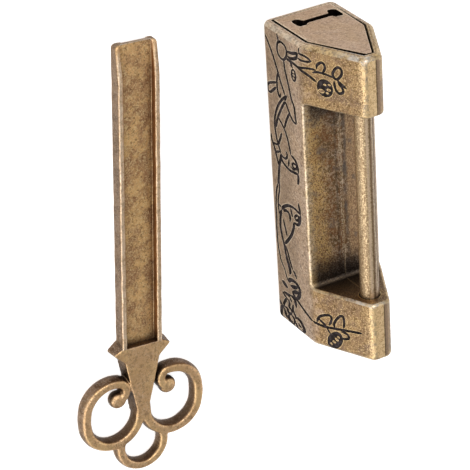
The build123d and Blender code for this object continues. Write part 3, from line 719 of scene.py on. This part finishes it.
far_flowers = [
    (BROAD, (24.1, 5.3), (24.5, 5.9), (23.8, 6.8), (23.5, 8.1), (23.6, 9.3), (24.0, 10.1), (24.5, 10.6),
     (25.4, 10.6), (26.3, 10.3), (27.2, 9.5), (27.5, 8.7)),
    (BROAD, (25.4, 6.6), (25.2, 7.7), (24.8, 8.8), (24.3, 9.9)),
    (BROAD, (26.6, 7.2), (26.4, 8.0), (25.8, 9.3), (25.6, 10.3)),
    (BOLD, (28.4, 3.0), (28.9, 3.5), (29.2, 4.2), (29.3, 4.8)),
    (BROAD, (28.3, 3.6), (28.3, 4.7), (28.3, 5.5), (27.9, 6.5)),
    (BROAD, (27.9, 6.4), (28.0, 7.7), (28.5, 8.4), (29.4, 8.6), (30.0, 8.8)),
    (BOLD, (28.6, 5.9), (29.1, 6.5), (29.5, 7.0)),
    (BOLD, (29.5, 4.8), (30.6, 3.9), (31.7, 3.3), (32.2, 3.7)),
    (BOLD, (29.5, 4.8), (29.8, 5.6), (30.5, 5.8), (31.5, 5.2)),
    (BROAD, (31.4, 0.8), (31.8, 1.6), (32.2, 2.7)),
    (BROAD, (32.1, 3.3), (32.9, 2.4), (33.9, 2.0), (34.8, 2.0), (35.5, 2.6), (35.6, 3.9)),
    (BROAD, (32.5, 3.4), (33.3, 3.7), (34.1, 4.1), (34.6, 5.0)),
    (BROAD, (32.2, 3.7), (32.1, 4.5), (32.7, 5.0), (33.0, 5.6), (32.5, 6.7)),
    (BOLD, (31.5, 5.2), (31.5, 6.1), (31.9, 6.6), (32.5, 6.7)),
    (BROAD, (33.3, 5.5), (34.2, 5.2), (34.6, 5.9), (34.7, 6.9)),
    (BOLD, (32.9, 6.4), (33.2, 7.2), (33.8, 7.8), (34.9, 7.3)),
    (BOLD, (34.9, 4.9), (35.3, 5.8), (35.3, 7.0), (34.4, 7.7)),
    (BOLD, (29.8, 7.5), (31.1, 7.2), (31.9, 7.6), (32.5, 8.2), (33.2, 8.2)),
    (BROAD, (32.7, 8.4), (32.6, 9.4), (32.8, 10.4), (33.5, 11.3), (34.2, 12.0), (34.9, 12.1)),
    (BROAD, (34.0, 8.4), (34.7, 8.6), (35.3, 9.2), (35.4, 10.3), (35.2, 11.7)),
    (BOLD, (33.7, 9.2), (34.1, 9.9), (34.2, 10.7)),
    (BROAD, (34.5, 10.8), (34.7, 11.5), (35.1, 11.8)),
    (BOLD, (26.7, 7.2), (27.2, 8.0), (28.2, 10.2), (28.8, 11.6), (29.3, 13.0), (29.8, 14.5), (30.0, 15.6)),
    (BOLD, (30.0, 15.6), (30.3, 16.8), (30.5, 18.8), (30.4, 20.1), (30.2, 21.8), (29.8, 25.2), (29.5, 28.3)),
    (BOLD, (30.0, 16.7), (28.9, 17.1), (28.1, 17.8), (27.5, 19.1), (27.3, 20.1), (27.8, 20.6), (28.8, 20.4),
     (29.9, 19.8)),
    (BOLD, (28.9, 17.3), (29.5, 18.1), (30.2, 19.2)),
    (BOLD, (30.2, 21.3), (29.1, 21.2), (27.9, 21.8), (26.8, 22.7), (26.5, 23.4), (27.0, 23.7), (28.4, 23.8),
     (29.6, 23.5)),
    (BOLD, (30.6, 22.9), (30.6, 23.7), (30.8, 24.5), (31.4, 24.9), (31.9, 24.6), (32.2, 23.6), (32.2, 23.0)),
    (PLAIN, (30.6, 19.2), (31.3, 19.7), (32.0, 20.3)),
]
strokes = near_flowers + near_wings + first_bird + branches + second_bird + far_flowers
STROKE_STEP = 0.35
STROKE_DEPTH = 0.22
STROKE_SPREAD = 1.08
STROKE_TURNS = [2 * math.pi * (k + 0.5) / 8 for k in range(8)]
FRONT_SWELL = 0.45


def cutter_object(mesh):
    """Cutter whose faces leave the dark filler on what they cut."""
    cutter = new_object(mesh.name, mesh, cast_bronze, line_filler)
    mesh.polygons.foreach_set("material_index", [1] * len(mesh.polygons))
    return cutter


def stroke_cutter(index, width, *points):
    """Tube with tapered ends that lies half under the skin and cuts one engraved line."""
    path = [p.to_2d() for p in spline([(x, t, 0.0) for x, t in points], STROKE_STEP)]
    closed = (path[0] - path[-1]).length < 1e-6
    rings = []
    for i, here in enumerate(path):
        ahead = heading(path, i)
        centre, out = skin(*here)
        along = (skin(*(here + ahead * 0.01))[0] - centre).normalized()
        side = out.cross(along).normalized()
        reach = min(i, len(path) - 1 - i) * STROKE_STEP / width
        half = width / 2 * (1.0 if closed else min(1.0, 0.35 + 0.65 * reach))
        half *= 1.0 + FRONT_SWELL * abs(along.x) * clamped((SIDE_HEIGHT + 1.0 - here.y) / 2)
        depth = STROKE_DEPTH * half / width * 2
        rings.append([
            centre + side * half * STROKE_SPREAD * math.cos(a) + out * depth * STROKE_SPREAD * math.sin(a)
            for a in STROKE_TURNS
        ])
    return cutter_object(loft(f"cut_{index}", rings))


# Filled recesses: centre, end of the long half axis, short half axis, and islands (x, t, radius) left in them
ISLAND_LONG, ISLAND_SHORT = 1.25, 0.75
recesses = [
    ((-27.9, 12.65), (-29.4, 12.75), 1.15, [(-28.6, 12.6, 0.3), (-27.9, 12.7, 0.32), (-27.2, 12.6, 0.28)]),
    ((26.1, 4.25), (26.5, 5.5), 0.6, []),
    ((-27.45, 21.5), (-25.4, 21.5), 2.0, [
        (-28.2, 21.5, 0.3), (-28.4, 22.6, 0.3), (-27.2, 22.4, 0.42), (-26.4, 22.0, 0.3), (-26.6, 20.6, 0.62),
    ]),
    ((33.2, 21.3), (35.3, 19.8), 1.75, [
        (32.2, 22.2, 0.3), (32.9, 21.7, 0.42), (33.7, 21.0, 0.36), (34.4, 20.3, 0.28),
    ]),
]


def loop_points(centre, half_axis, short, count):
    """Points of an ellipse in x and t."""
    centre = Vector(centre)
    long_way = Vector(half_axis) - centre
    short_way = long_way.orthogonal().normalized() * short
    turns = [2 * math.pi * k / count for k in range(count)]
    return [centre + long_way * math.cos(a) + short_way * math.sin(a) for a in turns]


def flat_solid(name, loops, thickness, bevel, place):
    """Solid from flat loops, the inner ones as holes, with rounded rims, laid by a matrix."""
    curve = bpy.data.curves.new(name, "CURVE")
    curve.dimensions = "2D"
    curve.fill_mode = "BOTH"
    for points in loops:
        line = curve.splines.new("POLY")
        line.points.add(len(points) - 1)
        for point, (a, b) in zip(line.points, points):
            point.co = (a * MM, b * MM, 0.0, 1.0)
        line.use_cyclic_u = True
    curve.extrude = (thickness / 2 - bevel) * MM
    curve.bevel_depth = bevel * MM
    curve.bevel_resolution = 2
    curve.offset = -bevel * MM
    made = bpy.data.objects.new(name, curve)
    mesh = bpy.data.meshes.new_from_object(made)
    drop(made)
    mesh.transform(place)
    edit_mesh(mesh, weld(0.002), turn_outwards)
    return mesh


def recess_cutter(index, centre, half_axis, short, islands):
    """Low solid that cuts one filled recess and leaves its islands standing."""
    loops = [loop_points(centre, half_axis, short, 40)]
    across = (Vector(half_axis) - Vector(centre)).orthogonal().normalized()
    for x, t, radius in islands:
        tip = Vector((x, t)) + across * radius * ISLAND_LONG
        loops.append(loop_points((x, t), tip, radius * ISLAND_SHORT, 12))
    foot, out = skin(*centre)
    ahead = Vector((1.0, 0.0, 0.0))
    axes = Matrix((ahead, out.cross(ahead), out)).transposed().to_4x4()
    to_centre = Matrix.Translation(Vector((*centre, 0.0)) * -MM)
    place = Matrix.Translation(foot * MM) @ axes @ to_centre
    return cutter_object(flat_solid(f"recess_{index}", loops, 2 * STROKE_DEPTH, 0.03, place))


def engraved_body():
    """The cast body with its engraving cut into it."""
    mesh = nodes["lock_body"].data.copy()
    edit_mesh(mesh, weld(0.001))
    body = new_object("engraved_body", mesh, line_filler)
    cutters = [stroke_cutter(i, *stroke) for i, stroke in enumerate(strokes)]
    cutters += [recess_cutter(i, *recess) for i, recess in enumerate(recesses)]
    for cutter in cutters:
        combine(body, "DIFFERENCE", cutter)
    bake_modifiers(body)
    drop(*cutters)
    shade_smooth(body)
    true_normals(body)
    return body


body = engraved_body()
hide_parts("lock_body")
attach(body, "lock")


# Keyhole plate: corners (y, z) and their radii
PLATE = [
    (-6.73, 1.68, 0.3), (-6.72, 15.35, 0.4), (-0.35, 27.5, 0.3),
    (1.0, 27.65, 0.3), (6.93, 15.4, 0.3), (7.245, 1.68, 0.3),
]
KEYHOLE = [
    (-4.33, 4.3, 1.1), (-2.7, 4.3, 0.8), (-2.0, 5.8, 0.5), (4.3, 5.8, 0.4), (4.6, 4.3, 0.8), (6.57, 4.3, 1.3),
    (6.57, 8.7, 1.4), (4.6, 8.4, 0.9), (4.1, 7.3, 0.4), (-2.0, 7.3, 0.5), (-2.6, 8.2, 0.8), (-4.33, 8.2, 1.2),
]


def rounded(corners, steps=4):
    """Closed outline through corners (a, b, radius), each rounded off by its radius."""
    found = []
    for i, (a, b, radius) in enumerate(corners):
        here = Vector((a, b))
        start = here + (Vector(corners[i - 1][:2]) - here).normalized() * radius
        end = here + (Vector(corners[(i + 1) % len(corners)][:2]) - here).normalized() * radius
        for k in range(steps + 1):
            u = k / steps
            found.append(start * (1 - u) ** 2 + here * 2 * u * (1 - u) + end * u**2)
    return found


def plate_visual():
    """Keyhole plate with soft edges, which stands clear of its seat along the front and the slopes."""
    axes = Matrix(((0.0, 0.0, 1.0), (1.0, 0.0, 0.0), (0.0, 1.0, 0.0))).to_4x4()
    middle = Matrix.Translation(Vector((NEAR_END + PLATE_THICKNESS / 2, 0.0, 0.0)) * MM)
    outlines = [rounded(PLATE), rounded(KEYHOLE)]
    mesh = flat_solid("plate_visual", outlines, PLATE_THICKNESS, 0.12, middle @ axes)
    return shade_smooth(new_object("plate_visual", mesh, plate_bronze))


# Cast seams, drawn as low ridges: on the floor of the gap, up the far lug, and along the rod
ROD_SEAM_UP, ROD_SEAM_BACK = 0.945, 0.316
RIDGE_SHAPE = ((1.0, -0.3), (0.6, 0.7), (0.0, 1.0), (-0.6, 0.7), (-1.0, -0.3))


def ridge(name, ends, across, width, height, material):
    """Low rounded ridge from one end to the other, a little uneven along its length."""
    start, end = (Vector(p) for p in ends)
    across = Vector(across)
    up = across.cross(end - start).normalized()
    steps = int((end - start).length / 0.8)
    rings = []
    for i in range(steps + 1):
        here = start.lerp(end, i / steps)
        foot = here + across * (noise.noise(here * 0.35) * 0.12)
        swell = 1.0 + 0.35 * noise.noise(here * 0.9)
        rings.append([
            foot + across * (a * width / 2 * swell) + up * (b * height * swell) for a, b in RIDGE_SHAPE
        ])
    made = new_object(name, loft(name, rings), material)
    edit_mesh(made.data, turn_outwards)
    return shade_smooth(made, 60.0)


# Key, in its own frame: u along the blade from the tip to the bow, v across it, z up
KEY_HEIGHT = 3.3
BLADE_HALF, BLADE_INNER = 4.85, 3.65
WEB_LOW, WEB_HIGH = 0.8, 1.6
TIP_U, LEAD_END_U, COLLAR_U, NECK_U, NECK_END_U = -40.1, -32.1, 28.4, 33.4, 46.85
LEAD_DROP = 1.3
TIP_ROUNDING = 0.9


def key_place(u, v, z):
    return KEY_AHEAD * u + KEY_SIDE * v + Vector((0.0, -KEY_DISTANCE, z))


def blade_ring(u):
    """Section of the blade: two rounded flanges joined by a thin web."""
    lead = clamped((u - TIP_U) / (LEAD_END_U - TIP_U))
    top = KEY_HEIGHT - LEAD_DROP * (1.0 - lead) ** 1.3
    past = max(TIP_U + TIP_ROUNDING - u, 0.0)
    tuck = TIP_ROUNDING - math.sqrt(max(TIP_ROUNDING**2 - past**2, 0.0))
    outer = BLADE_HALF - tuck
    inner = BLADE_INNER - tuck * 0.9
    lift = 0.35 * tuck
    right = [(inner, WEB_LOW, 0.25), (inner, lift, 0.2), (outer, lift, 0.3), (outer, top - lift, 0.5),
             (inner, top - lift, 0.5), (inner, WEB_HIGH, 0.15)]
    section = rounded(right + [(-v, z, radius) for v, z, radius in reversed(right)], 3)
    found = []
    for v, z in section:
        push = noise.noise(Vector((u * 0.3, math.copysign(7.0, v), 0.0))) * 0.07
        swell = noise.noise(Vector((u * 0.45, math.copysign(3.0, v), 5.0))) * 0.07 * z / KEY_HEIGHT
        found.append(key_place(u, v + push, z + swell))
    return found


def blade_mesh():
    near = [TIP_U + TIP_ROUNDING * share for share in (0.0, 0.05, 0.15, 0.3, 0.5, 0.75, 1.0)]
    count = 130
    run = BLADE_END_U + 0.3 - near[-1]
    far = [near[-1] + run * (i + 1) / count for i in range(count)]
    return loft("blade", [blade_ring(u) for u in near + far])


def slab(name, foot, head):
    """Solid as high as the key between a foot and a head outline, given as (u, v) points."""
    return loft(name, [[key_place(*p, 0.0) for p in foot], [key_place(*p, KEY_HEIGHT) for p in head]])


def mirrored(points):
    """Outline over both sides of the key from the points on its left, counter-clockwise."""
    return [(u, -v) for u, v in points] + points[::-1]


def arc(centre, radius, start, end, count):
    turns = [math.radians(start + (end - start) * i / count) for i in range(count + 1)]
    return [(centre[0] + radius * math.cos(a), centre[1] + radius * math.sin(a)) for a in turns]


FAR_ARC = ((46.85, 7.05), 6.45)
NEAR_ARC = ((44.6, 6.95), 6.55)
CURL = ((40.345, 6.05), 2.2)
CURL_BALL = (42.51, 5.67)
SCROLL_SHIFT = {1: Vector((-0.25, 0.4)), -1: Vector((0.0, 0.0))}
CURL_SHIFT = {1: Vector((-0.5, 0.85)), -1: Vector((0.0, 0.0))}
RING = ((54.95, 0.0), 5.3)
BAR = [
    (1.0, 0.05, 0.4), (1.55, 1.4, 0.8), (0.9, 3.26, 0.5),
    (-0.9, 3.26, 0.5), (-1.55, 1.4, 0.8), (-1.0, 0.05, 0.4),
]
RING_BAR = [
    (0.9, 0.2, 0.4), (1.4, 1.4, 0.8), (0.8, 3.1, 0.45), (-0.8, 3.1, 0.45), (-1.4, 1.4, 0.8), (-0.9, 0.2, 0.4),
]


def bar(name, path, section, taper=1.0):
    """Bar of the bow along a path in (u, v), which narrows to the taper over its last quarter."""
    path = spline([(u, v, 0.0) for u, v in path], 0.45)
    rings = []
    for i, here in enumerate(path):
        ahead = heading(path, i).normalized()
        side = Vector((0.0, 0.0, 1.0)).cross(ahead)
        share = clamped(4.0 * i / len(path) - 3.0)
        thick = (1.0 + (taper - 1.0) * share) * (1.0 + 0.05 * noise.noise(here * 0.4))
        rings.append([key_place(*(here + side * w * thick).to_2d(), z) for w, z in rounded(section, 3)])
    return loft(name, rings)


def scroll_path(side):
    """Middle line of one scroll, from its foot in the neck round to the tip of its curl."""
    loop = [(45.2, 0.45), *arc(*FAR_ARC, -90.0, 75.0, 11), (45.72, 13.6)]
    loop += arc(*NEAR_ARC, 105.0, 185.0 if side > 0 else 192.0, 6)
    moved = [Vector(p) + SCROLL_SHIFT[side] for p in loop]
    moved += [Vector(p) + CURL_SHIFT[side] for p in arc(*CURL, 205.0, 350.0, 8)]
    return [(43.4, 0.2 * side)] + [(p.x, p.y * side) for p in moved]


def ball(name, u, v):
    """Round end of a curl."""
    rings = []
    for z, radius in ((0.2, 1.2), (0.5, 1.7), (1.2, 2.0), (2.2, 2.0), (2.8, 1.65), (3.1, 1.0)):
        rings.append([key_place(a, b, z) for a, b in arc((u, v), radius, 0.0, 360.0, 24)[:-1]])
    return loft(name, rings)


def bow_mesh():
    """Collar, neck, scrolls and ring, melted together into one soft casting."""
    neck_foot = [(BLADE_END_U, BLADE_HALF), (NECK_U, 4.75), (40.1, 3.2), (NECK_END_U, 1.9)]
    neck_head = [(BLADE_END_U, 4.75), (NECK_U, 4.15), (40.1, 2.7), (NECK_END_U, 1.15)]
    fin_foot = [(COLLAR_U + 0.3, 3.9), (COLLAR_U + 0.3, BLADE_HALF), (30.6, 7.0), (31.1, 7.0)]
    fin_foot += [(NECK_U, 4.75), (NECK_U, 3.9)]
    fin_head = [(BLADE_END_U, 3.9), (BLADE_END_U, BLADE_HALF), (30.7, 6.7), (31.0, 6.7)]
    fin_head += [(NECK_U, 4.15), (NECK_U, 3.9)]
    solids = [slab("neck", mirrored(neck_foot), mirrored(neck_head))]
    for side in (1, -1):
        foot, head = ([(u, side * v) for u, v in outline][::-side] for outline in (fin_foot, fin_head))
        solids.append(slab(f"fin_{side}", foot, head))
        tip = Vector(CURL_BALL) + CURL_SHIFT[side]
        solids.append(bar(f"scroll_{side}", scroll_path(side), BAR, 0.85))
        solids.append(ball(f"ball_{side}", tip.x, side * tip.y))
    solids.append(bar("ring", arc(*RING, -112.0, 112.0, 16), RING_BAR))
    work = bmesh.new()
    for mesh in solids:
        work.from_mesh(mesh)
        bpy.data.meshes.remove(mesh)
    joined = bpy.data.meshes.new("bow")
    work.to_mesh(joined)
    work.free()
    bow = new_object("bow", joined)
    modify(bow, "REMESH", mode="VOXEL", voxel_size=0.17 * MM)
    modify(bow, "SMOOTH", factor=0.5, iterations=14)
    modify(bow, "DECIMATE", ratio=0.35)
    bake_modifiers(bow)
    return bow


def key_visual():
    """The whole key as one casting."""
    made = new_object("key_visual", blade_mesh())
    bow = bow_mesh()
    combine(made, "UNION", bow)
    bake_modifiers(made)
    drop(bow)
    cover(made.data, key_bronze)
    return shade_smooth(made, 50.0)


plate = plate_visual()
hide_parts("keyhole_plate")
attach(plate, "lock")

floor_ends = ((GAP_START + 0.2, 0.0, GAP_FLOOR), (GAP_END - 0.2, 0.0, GAP_FLOOR))
floor_seam = ridge("floor_seam", floor_ends, (0.0, -1.0, 0.0), 0.4, 0.04, seam_bronze)
lug_ends = ((GAP_END, -0.2, GAP_FLOOR + 0.2), (GAP_END, -0.2, 22.4))
lug_seam = ridge("lug_seam", lug_ends, (0.0, 1.0, 0.0), 0.35, 0.03, seam_bronze)
for seam in (floor_seam, lug_seam):
    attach(seam, "lock")
rod_top = ROD_HEIGHT + ROD_RADIUS * ROD_SEAM_UP
rod_ends = ((GAP_START + 0.5, 0.65, rod_top), (GAP_END - 0.5, 0.65, rod_top))
rod_seam = ridge("rod_seam", rod_ends, (0.0, -ROD_SEAM_UP, ROD_SEAM_BACK), 0.4, 0.07, rod_bronze)
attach(rod_seam, "bolt")

key = key_visual()
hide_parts("key")
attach(key, "key")


# Floor and light
def stage_material():
    """White floor: lit like paper, and lifted to white for the camera and for reflections."""
    s = Shader(bpy.data.materials.new("stage_white"))
    paper = s.add("ShaderNodeBsdfDiffuse", {"Color": rgb(0.8, 0.8, 0.8)})[0]
    bright = s.add("ShaderNodeEmission", {"Color": WHITE, "Strength": 0.55})[0]
    faint = s.add("ShaderNodeEmission", {"Color": WHITE, "Strength": 0.2})[0]
    for_camera = s.add("ShaderNodeAddShader", {0: paper, 1: bright})[0]
    for_gloss = s.add("ShaderNodeAddShader", {0: paper, 1: faint})[0]
    path = s.add("ShaderNodeLightPath")
    gloss = s.most(path["Is Glossy Ray"], path["Is Transmission Ray"])
    return s.finish(s.blend(path["Is Camera Ray"], s.blend(gloss, paper, for_gloss), for_camera))


FLOOR_HALF, FLOOR_Z = 3000.0, -0.02
corners = [(FLOOR_HALF * a, FLOOR_HALF * b, FLOOR_Z) for a, b in ((-1, -1), (1, -1), (1, 1), (-1, 1))]
floor = new_object("stage_floor", mesh_from("stage_floor", corners, [(0, 1, 2, 3)]), stage_material())


def sky():
    """Soft studio light, brighter near the horizon, and white for the camera."""
    scene.world = bpy.data.worlds.new("world")
    s = Shader(scene.world)
    upward = s.split(s.add("ShaderNodeTexCoord")["Generated"])["Z"]
    soft = {"Color": WHITE, "Strength": s.ramp(upward, 0.0, 0.9, 0.6, 0.42)}
    soft = s.add("ShaderNodeBackground", soft)[0]
    white = s.add("ShaderNodeBackground", {"Color": WHITE})[0]
    for_camera = s.add("ShaderNodeLightPath")["Is Camera Ray"]
    s.finish(s.blend(for_camera, soft, white), "ShaderNodeOutputWorld")


LIT_PLACE = Vector((0.0, -0.02, 0.01))


def softbox(name, direction, distance, size, power):
    """Area light that stands in the given direction from the object and faces it."""
    data = bpy.data.lights.new(name, "AREA")
    data.shape = "RECTANGLE"
    data.size, data.size_y = size
    data.energy = power
    lamp = new_object(name, data)
    away = Vector(direction).normalized()
    lamp.location = LIT_PLACE + away * distance
    lamp.rotation_euler = (-away).to_track_quat("-Z", "Y").to_euler()


sky()
softbox("left_softbox", (0.45, -0.8, 0.42), 0.9, (0.9, 0.6), 4.0)
softbox("right_softbox", (0.1, 0.9, 0.5), 0.9, (0.9, 0.5), 1.6)
softbox("top_softbox", (-0.5, -0.3, 1.0), 1.0, (0.7, 0.7), 6.0)
